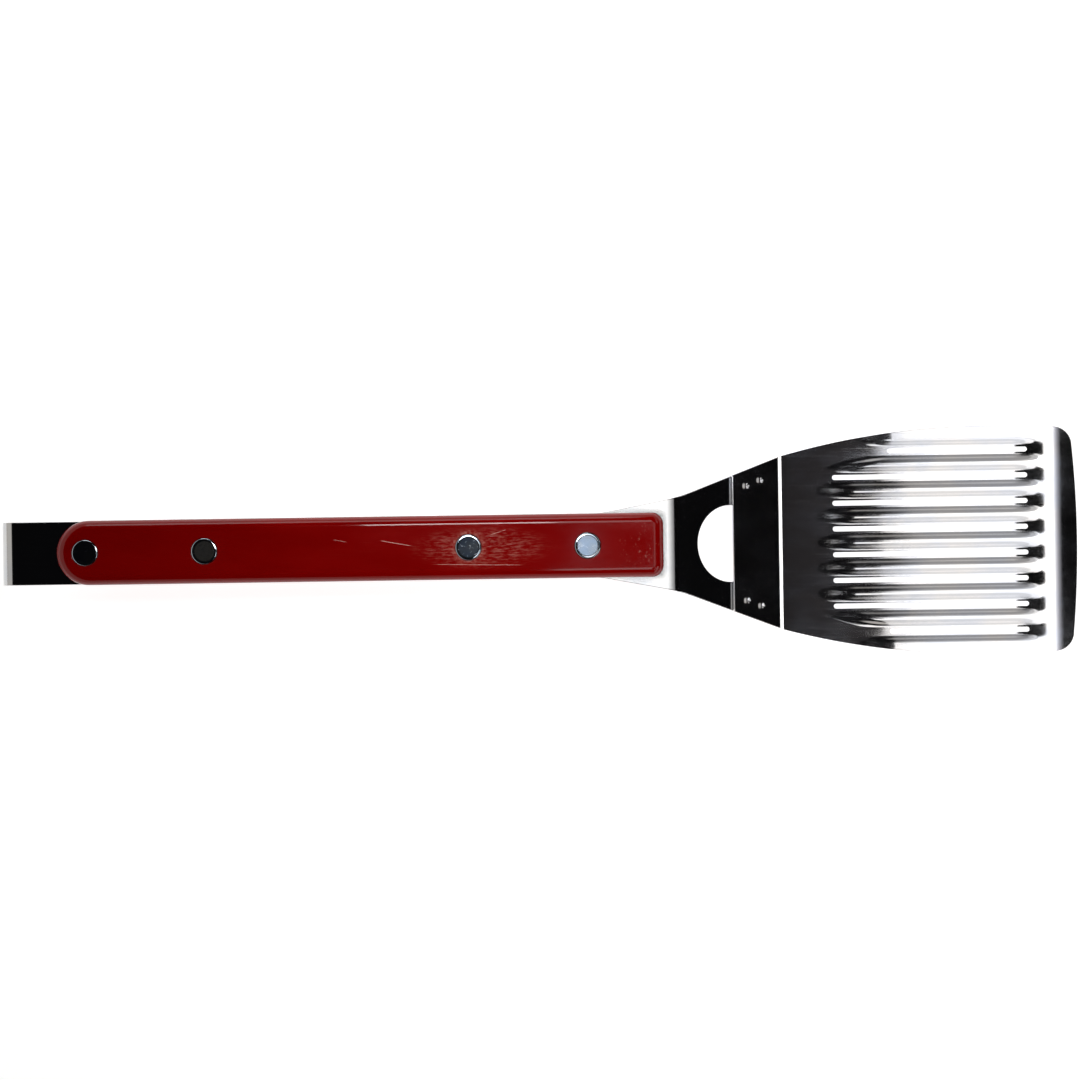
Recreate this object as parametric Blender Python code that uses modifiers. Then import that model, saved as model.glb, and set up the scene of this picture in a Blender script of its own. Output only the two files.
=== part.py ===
"""Grill spatula: a ribbed and slotted steel blade, spot-welded to the sloping neck of a full-length
steel tang. Two red scales are riveted to the tang as the handle, and its bare rear end is bent
down into a hanging hook.

Units are metres. +X points from the hook to the blade's front edge, +Y to the left and +Z up.
The origin lies under the middle of the object, on the plane that the blade and the hook stand on.
"""

import math

import bmesh
import bpy
from mathutils import Matrix

# Clearances between neighbouring pieces
FACE_GAP = 0.0003           # between two faces that bear on each other
RIVET_GAP = 0.0003          # around a rivet's head, tube and pin
WELD_GAP = 0.00015          # around a weld nugget

# Lengths along X, in order from the hook to the blade's front edge
TONGUE_LENGTH = 0.0224      # bare tang behind the scales
HANDLE_LENGTH = 0.2512
BEND_SETBACK = 0.0015       # level tang between the scales and the neck's bend
NECK_RUN = 0.0470           # from the start of the neck's bend to the blade's heel
BLADE_LENGTH = 0.1233       # from the heel to the front edge

# Tang: one strip that makes the hook, the handle's core and the neck
TANG_THICKNESS = 0.0020
TANG_WIDTH = 0.0262
HOOK_BEND_RADIUS = 0.0035   # inside the bend
HOOK_TIP_ROUNDING = 0.0060
NECK_SLOPE = math.radians(31)
NECK_BEND_RADIUS = 0.0140   # inside the bend
TANG_FLARE = 0.190          # growth of the half width per length, beside the scales
NECK_FLARE = 0.383          # the same on the neck
FLARE_LEAD = 0.0276         # how far the flare starts behind the scales' front end
FLARE_EASING = 0.0060       # half the length over which the flare changes
NECK_HOLE_DIAMETER = 0.0315
NECK_HOLE_SETBACK = 0.0211  # from the heel to the hole's centre, along X
TANG_END_SETBACK = 0.0050   # from the heel to the tang's front end, under the flange

# Blade: one sheet with a flange that is bent up and lies on the neck
SHEET_THICKNESS = 0.0012
FLANGE_RUN = 0.0197
HEEL_BEND_RADIUS = 0.0030   # at the middle of the sheet
BLADE_WIDTH = 0.0944
WIDEST_SETBACK = 0.0413     # from the front edge to the widest place
FRONT_NARROWING = 0.0008    # on each side, from the widest place to the front edge
FRONT_BOW = 0.0018
FRONT_CORNER_RADIUS = 0.0080
LIP_RUN = 0.0105            # the turned-down strip along the front edge
LIP_BEND_RUN = 0.0070
LIP_LIFT = 0.0001           # of the front edge, above the slots' floors

# Slots, each in a level floor between two ribs
SLOT_COUNT = 8
SLOT_SIDE_INSET = 0.00982       # from the blade's side, where it is widest, to the first slot
SLOT_WIDTH = 0.0020
SLOT_FRONT_SETBACK = 0.0203     # from the blade's front edge
SLOT_REAR_INSET = 0.0220        # from the heel
OUTER_SLOT_REAR_INSET = 0.0450  # the same for the two outermost slots
FLOOR_WIDTH = 0.0032
FLOOR_RISE = 0.0164             # length over which a floor rises in front of its slot
FLOOR_OVERLAP = 0.0070          # how far the slot reaches into that rise

# Ribs: the sheet is pressed up between the slots, outside them and in front of them
RIB_HEIGHT = 0.0015
RIB_RISE = 0.0175               # length over which a rib rises
RIB_LEAD = 0.0075               # how far behind the slots it starts
OUTER_RIB_LEAD = 0.0155         # the same at the two outermost slots

# Handle scales
HANDLE_WIDTH = 0.0268
SCALE_THICKNESS = 0.0070
SCALE_FRONT_CORNER_RADIUS = 0.0050
SCALE_EDGE_ROUNDING = 0.0040

# Two-piece rivets: a head with a pin above, pressed into a head with a tube below
REAR_RIVET_INSET = 0.0116       # from the scales' rear end
FRONT_RIVET_INSET = 0.0314      # from the scales' front end
RIVET_PAIR_SPACING = 0.0494
RIVET_HEAD_RADIUS = 0.0054
RIVET_HEAD_THICKNESS = 0.0016
RIVET_HEAD_CHAMFER = 0.0003
RIVET_TUBE_RADIUS = 0.0027
RIVET_PIN_RADIUS = 0.0014
RIVET_PIN_CLEARANCE = 0.0030    # between the pin's end and the lower head

# Weld nuggets
WELD_RADIUS = 0.00135
WELD_DIMPLE = 0.00025
WELD_DISH_RADIUS = 0.00095      # of the dimple's flatter middle
WELD_DISH_DEPTH = 0.0002        # at that radius
WELD_ROWS = (0.0044, 0.0103)    # from the flange's rear edge, along X
WELD_EDGE_INSET = 0.0062        # from the flange's side

# Faceting
ROUND_SIDES = 32
HOLE_SIDES = 48
SMALL_ROUND_SIDES = 16
BEND_STEPS = 8              # along each of the tang's bends
TIP_STEPS = 6               # along a rounded tip or a small corner
HEEL_BEND_STEPS = 5
EASING_STEPS = 4            # where the tang's flare begins
FLANK_STEPS = 3             # up a rib's side
RISE_STEPS = 4              # along the rise of a rib or a floor
LIP_BEND_STEPS = 3
SIDE_STEPS = 16             # along the blade's curved side, and round the scales' rear end
FRONT_STEPS = 5             # along half of the blade's front edge
EDGE_ROUNDING_STEPS = 4
FLAT_ANGLE = math.radians(0.05)
CUT_MARGIN = 0.0100             # how far a cutter reaches past what it cuts

# Places that follow from the lengths
OVERALL_LENGTH = TONGUE_LENGTH + HANDLE_LENGTH + BEND_SETBACK + NECK_RUN + BLADE_LENGTH
REAR_X = -OVERALL_LENGTH / 2
HANDLE_REAR_X = REAR_X + TONGUE_LENGTH
HANDLE_FRONT_X = HANDLE_REAR_X + HANDLE_LENGTH
NECK_BEND_X = HANDLE_FRONT_X + BEND_SETBACK
HEEL_X = NECK_BEND_X + NECK_RUN
FRONT_X = HEEL_X + BLADE_LENGTH
FLANGE_REAR_X = HEEL_X - FLANGE_RUN
SLOT_PITCH = (BLADE_WIDTH - 2 * SLOT_SIDE_INSET) / (SLOT_COUNT - 1)

# Heights of the sheets' middle surfaces
BLADE_Z = SHEET_THICKNESS / 2
STACK_OFFSET = SHEET_THICKNESS / 2 + FACE_GAP + TANG_THICKNESS / 2
NECK_BEND_MIDDLE_RADIUS = NECK_BEND_RADIUS + TANG_THICKNESS / 2
NECK_CORNER_X = NECK_BEND_X + NECK_BEND_MIDDLE_RADIUS * math.tan(NECK_SLOPE / 2)
TANG_Z = (BLADE_Z + (HEEL_X - NECK_CORNER_X) * math.tan(NECK_SLOPE)
          - STACK_OFFSET / math.cos(NECK_SLOPE))
SCALE_INNER_OFFSET = TANG_THICKNESS / 2 + FACE_GAP
SCALE_OUTER_OFFSET = SCALE_INNER_OFFSET + SCALE_THICKNESS


def clear_scene():
    for obj in list(bpy.data.objects):
        bpy.data.objects.remove(obj, do_unlink=True)


def make_collection(name):
    collection = bpy.data.collections.new(name)
    bpy.context.scene.collection.children.link(collection)
    return collection


def make_material(name, colour, roughness, metallic):
    material = bpy.data.materials.new(name)
    material.use_nodes = True
    shader = material.node_tree.nodes["Principled BSDF"]
    shader.inputs["Base Color"].default_value = (*colour, 1.0)
    shader.inputs["Roughness"].default_value = roughness
    shader.inputs["Metallic"].default_value = metallic
    return material


def add_object(name, data, collection, material=None):
    obj = bpy.data.objects.new(name, data)
    collection.objects.link(obj)
    if material is not None:
        data.materials.append(material)
    return obj


def add_cutter(name, data, collection):
    cutter = add_object(name, data, collection)
    cutter.hide_render = True
    cutter.display_type = "WIRE"
    return cutter


def apply_cut(obj, cutter, operation="DIFFERENCE"):
    modifier = obj.modifiers.new(cutter.name, "BOOLEAN")
    modifier.object = cutter
    modifier.operation = operation
    modifier.solver = "EXACT"


def smooth_rounds(mesh, angle=math.radians(35)):
    mesh.shade_smooth()
    mesh.set_sharp_from_angle(angle=angle)


def eased_ramp(distance, easing):
    """Zero well before the start, the distance itself well after it, rounded in between."""
    if distance <= -easing:
        return 0.0
    if distance >= easing:
        return distance
    return (distance + easing) ** 2 / (4 * easing)


def smooth_step(value):
    value = min(max(value, 0.0), 1.0)
    return value * value * (3 - 2 * value)


def arc(centre, radius, start, end, steps):
    """Points on an arc between two angles, both ends included."""
    angles = [start + (end - start) * step / steps for step in range(steps + 1)]
    return [(centre[0] + radius * math.cos(a), centre[1] + radius * math.sin(a)) for a in angles]


def tang_half_width(x):
    """Half the width of the tang and the flange at a place along X."""
    beside_scales = eased_ramp(x - (HANDLE_FRONT_X - FLARE_LEAD), FLARE_EASING)
    on_neck = eased_ramp(x - NECK_CORNER_X, FLARE_EASING)
    return TANG_WIDTH / 2 + TANG_FLARE * beside_scales + (NECK_FLARE - TANG_FLARE) * on_neck


def blade_half_width(x):
    """Half the width of the blade's outline, on the flange and in front of the heel."""
    if x <= HEEL_X:
        return tang_half_width(x)
    widest = BLADE_WIDTH / 2
    widest_x = FRONT_X - WIDEST_SETBACK
    if x <= widest_x:
        left = (widest_x - x) / (widest_x - HEEL_X)
        return widest - (widest - tang_half_width(HEEL_X)) * left ** 2
    return widest - FRONT_NARROWING * ((x - widest_x) / WIDEST_SETBACK) ** 2


def bent_sheet(name, path, columns, place, thickness):
    """A grid with a row for each point of a side-view path, made thick to both sides."""
    mesh = bpy.data.meshes.new(name)
    bm = bmesh.new()
    rows = len(path) - 1
    across = len(columns) - 1
    bmesh.ops.create_grid(bm, x_segments=rows, y_segments=across, size=1)
    for vertex in bm.verts:
        row = round((vertex.co.x + 1) / 2 * rows)
        column = round((vertex.co.y + 1) / 2 * across)
        vertex.co = place(path[row], columns[column])
    bm.to_mesh(mesh)
    bm.free()
    smooth_rounds(mesh)

    def thicken(obj):
        solidify = obj.modifiers.new("thickness", "SOLIDIFY")
        solidify.thickness = thickness
        solidify.offset = 0.0
        solidify.use_even_offset = True

    return mesh, thicken


def outline_mesh(name, points, low, high):
    """A closed outline in plan, extruded from one height to another."""
    curve = bpy.data.curves.new(name, "CURVE")
    curve.dimensions = "2D"
    curve.fill_mode = "BOTH"
    curve.extrude = (high - low) / 2
    spline = curve.splines.new("POLY")
    spline.points.add(len(points) - 1)
    for spline_point, (x, y) in zip(spline.points, points):
        spline_point.co = (x, y, 0, 1)
    spline.use_cyclic_u = True
    guide = bpy.data.objects.new(name + "_guide", curve)
    bpy.context.scene.collection.objects.link(guide)
    graph = bpy.context.evaluated_depsgraph_get()
    mesh = bpy.data.meshes.new_from_object(guide.evaluated_get(graph))
    bpy.data.objects.remove(guide)
    mesh.name = name
    bm = bmesh.new()
    bm.from_mesh(mesh)
    bmesh.ops.remove_doubles(bm, verts=bm.verts, dist=1e-6)
    bmesh.ops.dissolve_limit(bm, angle_limit=FLAT_ANGLE, verts=bm.verts, edges=bm.edges)
    bmesh.ops.translate(bm, verts=bm.verts, vec=(0, 0, (low + high) / 2))
    bmesh.ops.recalc_face_normals(bm, faces=bm.faces)
    bm.to_mesh(mesh)
    bm.free()
    return mesh


def cylinders_mesh(name, matrices, radius, depth, sides):
    """One cylinder, centred on its own origin, for each matrix."""
    mesh = bpy.data.meshes.new(name)
    bm = bmesh.new()
    for matrix in matrices:
        bmesh.ops.create_cone(bm, cap_ends=True, segments=sides, radius1=radius, radius2=radius,
                              depth=depth, matrix=matrix)
    bm.to_mesh(mesh)
    bm.free()
    return mesh


def turned_object(name, profile, collection, material):
    """A profile of (radius, height) points, turned about Z."""
    mesh = bpy.data.meshes.new(name)
    edges = [(index, index + 1) for index in range(len(profile) - 1)]
    mesh.from_pydata([(radius, 0, height) for radius, height in profile], edges, [])
    obj = add_object(name, mesh, collection, material)
    screw = obj.modifiers.new("turn", "SCREW")
    screw.steps = ROUND_SIDES
    screw.render_steps = ROUND_SIDES
    screw.use_merge_vertices = True
    screw.merge_threshold = 1e-5
    screw.use_smooth_shade = False
    return obj


def neck_matrix(x, y, offset):
    """A place beside the neck's middle surface, with Z along the neck's outward normal."""
    corner_drop = (x - NECK_CORNER_X) * math.tan(NECK_SLOPE)
    turn = Matrix.Rotation(NECK_SLOPE, 4, "Y")
    return Matrix.Translation((x, y, TANG_Z - corner_drop)) @ turn @ Matrix.Translation((0, 0, offset))


def rivet_places():
    rear = HANDLE_REAR_X + REAR_RIVET_INSET
    front = HANDLE_FRONT_X - FRONT_RIVET_INSET
    return (rear, rear + RIVET_PAIR_SPACING, front - RIVET_PAIR_SPACING, front)


def weld_places():
    """Plan positions of the four nuggets, left side first."""
    places = []
    for side in (1, -1):
        for inset in WELD_ROWS:
            x = FLANGE_REAR_X + inset
            places.append((x, side * (tang_half_width(x) - WELD_EDGE_INSET)))
    return places


def tang_path():
    """The tang's middle surface seen from the side, from the hook's tip to the neck's end."""
    hook_radius = HOOK_BEND_RADIUS + TANG_THICKNESS / 2
    leg_x = REAR_X + TANG_THICKNESS / 2
    tip_rise = [HOOK_TIP_ROUNDING * (1 - math.cos(step / TIP_STEPS * math.pi / 2))
                for step in range(TIP_STEPS + 1)]
    path = [(leg_x, rise) for rise in tip_rise]
    path += arc((leg_x + hook_radius, TANG_Z - hook_radius), hook_radius,
                math.pi, math.pi / 2, BEND_STEPS)
    flare_start = HANDLE_FRONT_X - FLARE_LEAD
    path += [(flare_start + FLARE_EASING * (2 * step / EASING_STEPS - 1), TANG_Z)
             for step in range(EASING_STEPS + 1)]
    path += arc((NECK_BEND_X, TANG_Z - NECK_BEND_MIDDLE_RADIUS), NECK_BEND_MIDDLE_RADIUS,
                math.pi / 2, math.pi / 2 - NECK_SLOPE, BEND_STEPS)
    for x in (NECK_CORNER_X + FLARE_EASING, HEEL_X - TANG_END_SETBACK):
        path.append((x, TANG_Z - (x - NECK_CORNER_X) * math.tan(NECK_SLOPE)))
    return path


def build_tang(collection, cutters, material):
    def place(point, side):
        x, z = point
        half = tang_half_width(x)
        if z < HOOK_TIP_ROUNDING and x < HANDLE_REAR_X:
            left = HOOK_TIP_ROUNDING - z
            half -= HOOK_TIP_ROUNDING - math.sqrt(HOOK_TIP_ROUNDING ** 2 - left ** 2)
        return (x, side * half, z)

    mesh, thicken = bent_sheet("tang", tang_path(), (-1, 0, 1), place, TANG_THICKNESS)
    obj = add_object("tang", mesh, collection, material)
    thicken(obj)

    depth = TANG_THICKNESS + 2 * CUT_MARGIN
    hole = cylinders_mesh("neck_hole", [neck_matrix(HEEL_X - NECK_HOLE_SETBACK, 0, 0)],
                          NECK_HOLE_DIAMETER / 2, depth, HOLE_SIDES)
    apply_cut(obj, add_cutter("neck_hole", hole, cutters))
    rivet_holes = cylinders_mesh(
        "tang_rivet_holes", [Matrix.Translation((x, 0, TANG_Z)) for x in rivet_places()],
        RIVET_TUBE_RADIUS + RIVET_GAP, depth, ROUND_SIDES)
    apply_cut(obj, add_cutter("tang_rivet_holes", rivet_holes, cutters))


def blade_columns():
    """Places across the blade: its sides, and each slot's floor and the ribs' sides next to it."""
    floor_half = FLOOR_WIDTH / 2
    flank = SLOT_PITCH / 2 - floor_half
    half = [floor_half + flank * step / FLANK_STEPS for step in range(FLANK_STEPS)]
    edge = SLOT_COUNT * SLOT_PITCH / 2
    columns = [-edge, edge, BLADE_WIDTH / 2 + CUT_MARGIN, -BLADE_WIDTH / 2 - CUT_MARGIN]
    for centre in slot_centres():
        columns += [centre + offset for offset in half] + [centre - offset for offset in half]
    columns += [centre + SLOT_PITCH / 2 for centre in slot_centres()[:-1]]
    return sorted(columns)


def slot_centres():
    return [SLOT_PITCH * (index - (SLOT_COUNT - 1) / 2) for index in range(SLOT_COUNT)]


def slot_ends(index):
    outer = index in (0, SLOT_COUNT - 1)
    rear = HEEL_X + (OUTER_SLOT_REAR_INSET if outer else SLOT_REAR_INSET)
    return rear, FRONT_X - SLOT_FRONT_SETBACK


def rib_start(y):
    """Where the ribs begin to rise. They start further forward at the outermost slots."""
    inner = slot_ends(SLOT_COUNT // 2)[0] - RIB_LEAD
    outer = slot_ends(0)[0] - OUTER_RIB_LEAD
    inner_side = SLOT_PITCH * (SLOT_COUNT / 2 - 1.5) + FLOOR_WIDTH / 2
    outer_side = SLOT_PITCH * (SLOT_COUNT / 2 - 0.5) - FLOOR_WIDTH / 2
    return inner + (outer - inner) * smooth_step((abs(y) - inner_side) / (outer_side - inner_side))


def floor_rise_start():
    return slot_ends(0)[1] - FLOOR_OVERLAP


def rise_stations(start, length):
    return [start + length * step / RISE_STEPS for step in range(RISE_STEPS + 1)]


def rib_height(x, y):
    """How far the blade's sheet is pressed up at a place in plan."""
    index = min(max(math.floor(y / SLOT_PITCH + SLOT_COUNT / 2), 0), SLOT_COUNT - 1)
    from_centre = abs(y - slot_centres()[index])
    floor_half = FLOOR_WIDTH / 2
    up_flank = min(max((from_centre - floor_half) / (SLOT_PITCH / 2 - floor_half), 0.0), 1.0)
    on_floor = 0.5 * (1 + math.cos(math.pi * up_flank))
    rib_rise = smooth_step((x - rib_start(y)) / RIB_RISE)
    floor_rise = smooth_step((x - floor_rise_start()) / FLOOR_RISE)
    return RIB_HEIGHT * rib_rise * (1 - on_floor * (1 - floor_rise))


def lip_drop(x):
    """How far the front lip lies under the ribs' tops: an eased bend, then a straight slope."""
    lip_start = FRONT_X - LIP_RUN
    edge_drop = eased_ramp(LIP_RUN - LIP_BEND_RUN / 2, LIP_BEND_RUN / 2)
    slope = (RIB_HEIGHT - LIP_LIFT) / edge_drop
    return slope * eased_ramp(x - lip_start - LIP_BEND_RUN / 2, LIP_BEND_RUN / 2)


def blade_path():
    """The sheet's middle surface seen from the side, before the ribs are pressed."""
    up_slope = HEEL_BEND_RADIUS * math.tan(NECK_SLOPE / 2)
    bend_centre = (HEEL_X + up_slope, BLADE_Z + HEEL_BEND_RADIUS)
    bend = arc(bend_centre, HEEL_BEND_RADIUS, -math.pi / 2 - NECK_SLOPE, -math.pi / 2,
               HEEL_BEND_STEPS)
    rear_x = FLANGE_REAR_X - CUT_MARGIN
    path = [(rear_x, BLADE_Z + (HEEL_X - rear_x) * math.tan(NECK_SLOPE))] + bend
    stations = rise_stations(rib_start(0), RIB_RISE)
    stations += rise_stations(rib_start(BLADE_WIDTH / 2), RIB_RISE)
    stations += rise_stations(floor_rise_start(), FLOOR_RISE)
    lip_start = FRONT_X - LIP_RUN
    stations += [lip_start + LIP_BEND_RUN * step / LIP_BEND_STEPS
                 for step in range(LIP_BEND_STEPS + 1)]
    stations.append(FRONT_X + CUT_MARGIN)
    path += [(x, BLADE_Z - lip_drop(x)) for x in sorted(stations)]
    return path


def blade_outline():
    """The blade's edge in plan, from the flange's right rear corner round to the left one."""
    corner = FRONT_CORNER_RADIUS
    corner_x = FRONT_X - FRONT_BOW - corner
    corner_y = blade_half_width(corner_x) - corner
    side = [(FLANGE_REAR_X, blade_half_width(FLANGE_REAR_X)), (HEEL_X, blade_half_width(HEEL_X))]
    for step in range(1, SIDE_STEPS):
        x = HEEL_X + (corner_x - HEEL_X) * step / SIDE_STEPS
        side.append((x, blade_half_width(x)))
    side += arc((corner_x, corner_y), corner, math.pi / 2, 0, TIP_STEPS)
    for step in range(1, FRONT_STEPS):
        y = corner_y * (1 - step / FRONT_STEPS)
        side.append((FRONT_X - FRONT_BOW * (y / corner_y) ** 2, y))
    right = [(x, -y) for x, y in side]
    return right + [(FRONT_X, 0)] + side[::-1]


def slot_outline(centre, rear, front):
    half = SLOT_WIDTH / 2
    outline = arc((rear + half, centre), half, math.pi / 2, 3 * math.pi / 2, TIP_STEPS)
    return outline + arc((front - half, centre), half, -math.pi / 2, math.pi / 2, TIP_STEPS)


def join_meshes(name, meshes):
    joined = bpy.data.meshes.new(name)
    bm = bmesh.new()
    for mesh in meshes:
        bm.from_mesh(mesh)
    bm.to_mesh(joined)
    bm.free()
    for mesh in meshes:
        bpy.data.meshes.remove(mesh)
    return joined


def build_blade(collection, cutters, material):
    def place(point, y):
        x, z = point
        return (x, y, z + rib_height(x, y))

    mesh, thicken = bent_sheet("blade", blade_path(), blade_columns(), place, SHEET_THICKNESS)
    obj = add_object("blade", mesh, collection, material)
    planar = obj.modifiers.new("merge_flats", "DECIMATE")
    planar.decimate_type = "DISSOLVE"
    planar.angle_limit = FLAT_ANGLE
    thicken(obj)

    top = TANG_Z + CUT_MARGIN
    trim = outline_mesh("blade_trim", blade_outline(), -CUT_MARGIN, top)
    apply_cut(obj, add_cutter("blade_trim", trim, cutters), "INTERSECT")
    slots = []
    for index, centre in enumerate(slot_centres()):
        rear, front = slot_ends(index)
        outline = slot_outline(centre, rear, front)
        slots.append(outline_mesh(f"slot_{index + 1}", outline, -CUT_MARGIN, CUT_MARGIN))
    apply_cut(obj, add_cutter("slots", join_meshes("slots", slots), cutters))


def build_welds(collection, cutters, material):
    """Nuggets through the flange and the neck, dished where the electrodes pressed."""
    top = STACK_OFFSET + SHEET_THICKNESS / 2
    bottom = -TANG_THICKNESS / 2
    holes = cylinders_mesh(
        "weld_holes", [neck_matrix(x, y, 0) for x, y in weld_places()],
        WELD_RADIUS + WELD_GAP, 2 * (top - bottom), SMALL_ROUND_SIDES)
    cutter = add_cutter("weld_holes", holes, cutters)
    apply_cut(bpy.data.objects["blade"], cutter)
    apply_cut(bpy.data.objects["tang"], cutter)
    profile = [(0, top - WELD_DIMPLE), (WELD_DISH_RADIUS, top - WELD_DISH_DEPTH),
               (WELD_RADIUS, top), (WELD_RADIUS, bottom),
               (WELD_DISH_RADIUS, bottom + WELD_DISH_DEPTH), (0, bottom + WELD_DIMPLE)]
    for number, (x, y) in enumerate(weld_places(), start=1):
        nugget = turned_object(f"weld_nugget_{number}", profile, collection, material)
        nugget.modifiers["turn"].steps = SMALL_ROUND_SIDES
        nugget.modifiers["turn"].render_steps = SMALL_ROUND_SIDES
        nugget.matrix_world = neck_matrix(x, y, 0)


def scale_outline():
    """The scales in plan: a half round behind and two small rounded corners in front."""
    half = HANDLE_WIDTH / 2
    corner = SCALE_FRONT_CORNER_RADIUS
    outline = arc((HANDLE_REAR_X + half, 0), half, math.pi / 2, 3 * math.pi / 2, SIDE_STEPS)
    outline += arc((HANDLE_FRONT_X - corner, corner - half), corner, -math.pi / 2, 0, TIP_STEPS)
    outline += arc((HANDLE_FRONT_X - corner, half - corner), corner, 0, math.pi / 2, TIP_STEPS)
    return outline


def build_scale(name, side, collection, cutters, material):
    """A scale above (side 1) or below (side -1) the tang, with its outer edge rounded."""
    inner = TANG_Z + side * SCALE_INNER_OFFSET
    outer = TANG_Z + side * SCALE_OUTER_OFFSET
    mesh = outline_mesh(name, scale_outline(), min(inner, outer), max(inner, outer))
    weights = mesh.attributes.new("bevel_weight_edge", "FLOAT", "EDGE")
    for edge in mesh.edges:
        heights = [mesh.vertices[index].co.z for index in edge.vertices]
        on_outer_face = all(abs(height - outer) < FACE_GAP for height in heights)
        weights.data[edge.index].value = 1.0 if on_outer_face else 0.0
    smooth_rounds(mesh)
    obj = add_object(name, mesh, collection, material)
    bevel = obj.modifiers.new("rounded_edge", "BEVEL")
    bevel.limit_method = "WEIGHT"
    bevel.width = SCALE_EDGE_ROUNDING
    bevel.segments = EDGE_ROUNDING_STEPS
    bevel.use_clamp_overlap = False

    pocket_depth = RIVET_HEAD_THICKNESS + RIVET_GAP
    pocket_centre = outer + side * (CUT_MARGIN - pocket_depth) / 2
    pockets = cylinders_mesh(
        name + "_pockets", [Matrix.Translation((x, 0, pocket_centre)) for x in rivet_places()],
        RIVET_HEAD_RADIUS + RIVET_GAP, CUT_MARGIN + pocket_depth, ROUND_SIDES)
    apply_cut(obj, add_cutter(name + "_pockets", pockets, cutters))
    holes = cylinders_mesh(
        name + "_rivet_holes",
        [Matrix.Translation((x, 0, (inner + outer) / 2)) for x in rivet_places()],
        RIVET_TUBE_RADIUS + RIVET_GAP, SCALE_THICKNESS + CUT_MARGIN, ROUND_SIDES)
    apply_cut(obj, add_cutter(name + "_rivet_holes", holes, cutters))


def head_profile():
    """A rivet head's outer side, from the middle of its face to the back of its rim."""
    face = SCALE_OUTER_OFFSET
    back = face - RIVET_HEAD_THICKNESS
    return [(0, face), (RIVET_HEAD_RADIUS - RIVET_HEAD_CHAMFER, face),
            (RIVET_HEAD_RADIUS, face - RIVET_HEAD_CHAMFER), (RIVET_HEAD_RADIUS, back)]


def build_rivets(collection, material):
    """Upper pieces carry the pin, lower pieces the tube that it is pressed into."""
    lower_head_back = RIVET_HEAD_THICKNESS - SCALE_OUTER_OFFSET
    upper_head_back = SCALE_OUTER_OFFSET - RIVET_HEAD_THICKNESS
    pin_end = lower_head_back + RIVET_PIN_CLEARANCE
    pin_profile = head_profile() + [
        (RIVET_PIN_RADIUS, upper_head_back),
        (RIVET_PIN_RADIUS, pin_end + RIVET_HEAD_CHAMFER),
        (RIVET_PIN_RADIUS - RIVET_HEAD_CHAMFER, pin_end),
        (0, pin_end)]
    bore = RIVET_PIN_RADIUS + RIVET_GAP
    tube_top = upper_head_back - RIVET_GAP
    tube_profile = [
        (0, lower_head_back + RIVET_PIN_CLEARANCE / 2),
        (bore, lower_head_back + RIVET_PIN_CLEARANCE / 2),
        (bore, tube_top),
        (RIVET_TUBE_RADIUS, tube_top),
        (RIVET_TUBE_RADIUS, lower_head_back)]
    tube_profile += [(radius, -height) for radius, height in head_profile()[::-1]]
    for number, x in enumerate(rivet_places(), start=1):
        pin = turned_object(f"rivet_{number}_pin", pin_profile, collection, material)
        pin.location = (x, 0, TANG_Z)
        tube = turned_object(f"rivet_{number}_tube", tube_profile, collection, material)
        tube.location = (x, 0, TANG_Z)


def main():
    clear_scene()
    parts = make_collection("grill_spatula")
    cutters = make_collection("cutters")
    steel = make_material("polished_steel", (0.62, 0.62, 0.63), 0.18, 1.0)
    blade_steel = make_material("blade_steel", (0.66, 0.66, 0.67), 0.24, 1.0)
    rivet_steel = make_material("rivet_steel", (0.60, 0.63, 0.66), 0.28, 1.0)
    red = make_material("red_plastic", (0.16, 0.003, 0.003), 0.22, 0.0)
    build_tang(parts, cutters, steel)
    build_blade(parts, cutters, blade_steel)
    build_welds(parts, cutters, blade_steel)
    build_scale("upper_scale", 1, parts, cutters, red)
    build_scale("lower_scale", -1, parts, cutters, red)
    build_rivets(parts, rivet_steel)


main()
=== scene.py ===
"""Looks for the grill spatula: fine meshes, procedural materials, studio light and camera.

The shapes repeat the CAD model's dimensions. Metres, +X from the hook to the blade's front edge.
"""

import math

import bpy
import numpy as np
from mathutils import Matrix, Vector
from mathutils.geometry import delaunay_2d_cdt


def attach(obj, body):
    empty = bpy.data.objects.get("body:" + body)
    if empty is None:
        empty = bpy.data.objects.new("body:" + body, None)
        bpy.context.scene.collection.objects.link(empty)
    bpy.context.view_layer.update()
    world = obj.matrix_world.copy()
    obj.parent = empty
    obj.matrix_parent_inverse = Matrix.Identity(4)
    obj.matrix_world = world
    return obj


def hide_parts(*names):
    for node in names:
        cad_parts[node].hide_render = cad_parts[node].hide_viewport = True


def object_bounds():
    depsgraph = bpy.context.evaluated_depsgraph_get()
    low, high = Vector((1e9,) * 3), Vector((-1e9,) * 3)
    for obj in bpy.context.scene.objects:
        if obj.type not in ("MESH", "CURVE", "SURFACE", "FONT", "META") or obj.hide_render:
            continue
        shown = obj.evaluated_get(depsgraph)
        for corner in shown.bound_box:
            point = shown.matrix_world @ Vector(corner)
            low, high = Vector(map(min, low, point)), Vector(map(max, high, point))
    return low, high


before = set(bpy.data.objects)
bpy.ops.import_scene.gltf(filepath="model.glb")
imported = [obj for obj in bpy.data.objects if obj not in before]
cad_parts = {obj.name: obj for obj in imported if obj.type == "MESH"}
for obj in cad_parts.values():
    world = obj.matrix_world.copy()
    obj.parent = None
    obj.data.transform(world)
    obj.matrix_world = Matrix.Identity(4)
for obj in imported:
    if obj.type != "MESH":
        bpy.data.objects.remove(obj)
CAD_LOW, CAD_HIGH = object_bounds()

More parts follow.
